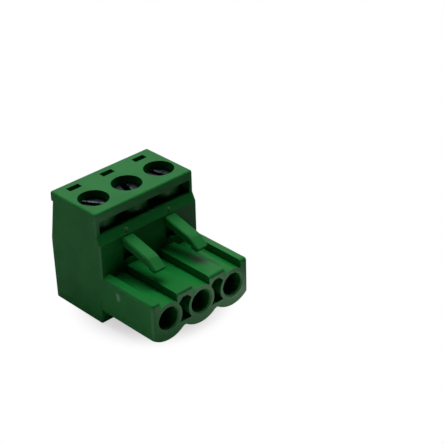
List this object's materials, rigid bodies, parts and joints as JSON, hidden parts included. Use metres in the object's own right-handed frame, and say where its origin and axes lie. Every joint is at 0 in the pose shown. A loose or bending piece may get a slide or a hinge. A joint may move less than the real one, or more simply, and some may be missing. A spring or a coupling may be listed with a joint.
{
  "type": "pluggable screw terminal block",
  "caption": "Green pluggable terminal block: wires clamp under screws in rising cages, and a keyed nose with sockets and latch hooks plugs over a pin header.",
  "frame": {"origin": "middle of the bounding box at the height of the body's flat underside", "axes": "+X along the row of positions, -Y towards the mating face, +Y towards the wire side, +Z towards the screws"},
  "size_m": [0.0152, 0.0182, 0.015],
  "materials": {
    "green_plastic": "satin moulded",
    "zinc_screw": "zinc plated",
    "zinc_cage": "zinc plated",
    "tinned_contact": "tin plated"
  },
  "bodies": {
    "block": {"housing": "green_plastic", "contact_1": "tinned_contact", "contact_2": "tinned_contact", "contact_3": "tinned_contact"},
    "screw_1": {"clamp_screw_1": "zinc_screw"},
    "cage_1": {"wire_cage_1": "zinc_cage"},
    "screw_2": {"clamp_screw_2": "zinc_screw"},
    "cage_2": {"wire_cage_2": "zinc_cage"},
    "screw_3": {"clamp_screw_3": "zinc_screw"},
    "cage_3": {"wire_cage_3": "zinc_cage"}
  },
  "joints": [
    {"name": "screw_turn_1", "type": "hinge", "parent": "block", "child": "screw_1", "pos_m": [-0.00508, 0.00349, 0.0135], "axis": [0, 0, -1], "range_deg": [0, 2160]},
    {"name": "screw_turn_2", "type": "hinge", "parent": "block", "child": "screw_2", "pos_m": [0, 0.00349, 0.0135], "axis": [0, 0, -1], "range_deg": [0, 2160]},
    {"name": "screw_turn_3", "type": "hinge", "parent": "block", "child": "screw_3", "pos_m": [0.00508, 0.00349, 0.0135], "axis": [0, 0, -1], "range_deg": [0, 2160]},
    {"name": "cage_rise_1", "type": "slide", "parent": "block", "child": "cage_1", "axis": [0, 0, 1], "range_m": [0, 0.003]},
    {"name": "cage_rise_2", "type": "slide", "parent": "block", "child": "cage_2", "axis": [0, 0, 1], "range_m": [0, 0.003]},
    {"name": "cage_rise_3", "type": "slide", "parent": "block", "child": "cage_3", "axis": [0, 0, 1], "range_m": [0, 0.003]}
  ],
  "couplings": [
    {"joint": "screw_turn_1", "follows": "cage_rise_1", "rad_per_m": 12566},
    {"joint": "screw_turn_2", "follows": "cage_rise_2", "rad_per_m": 12566},
    {"joint": "screw_turn_3", "follows": "cage_rise_3", "rad_per_m": 12566}
  ]
}
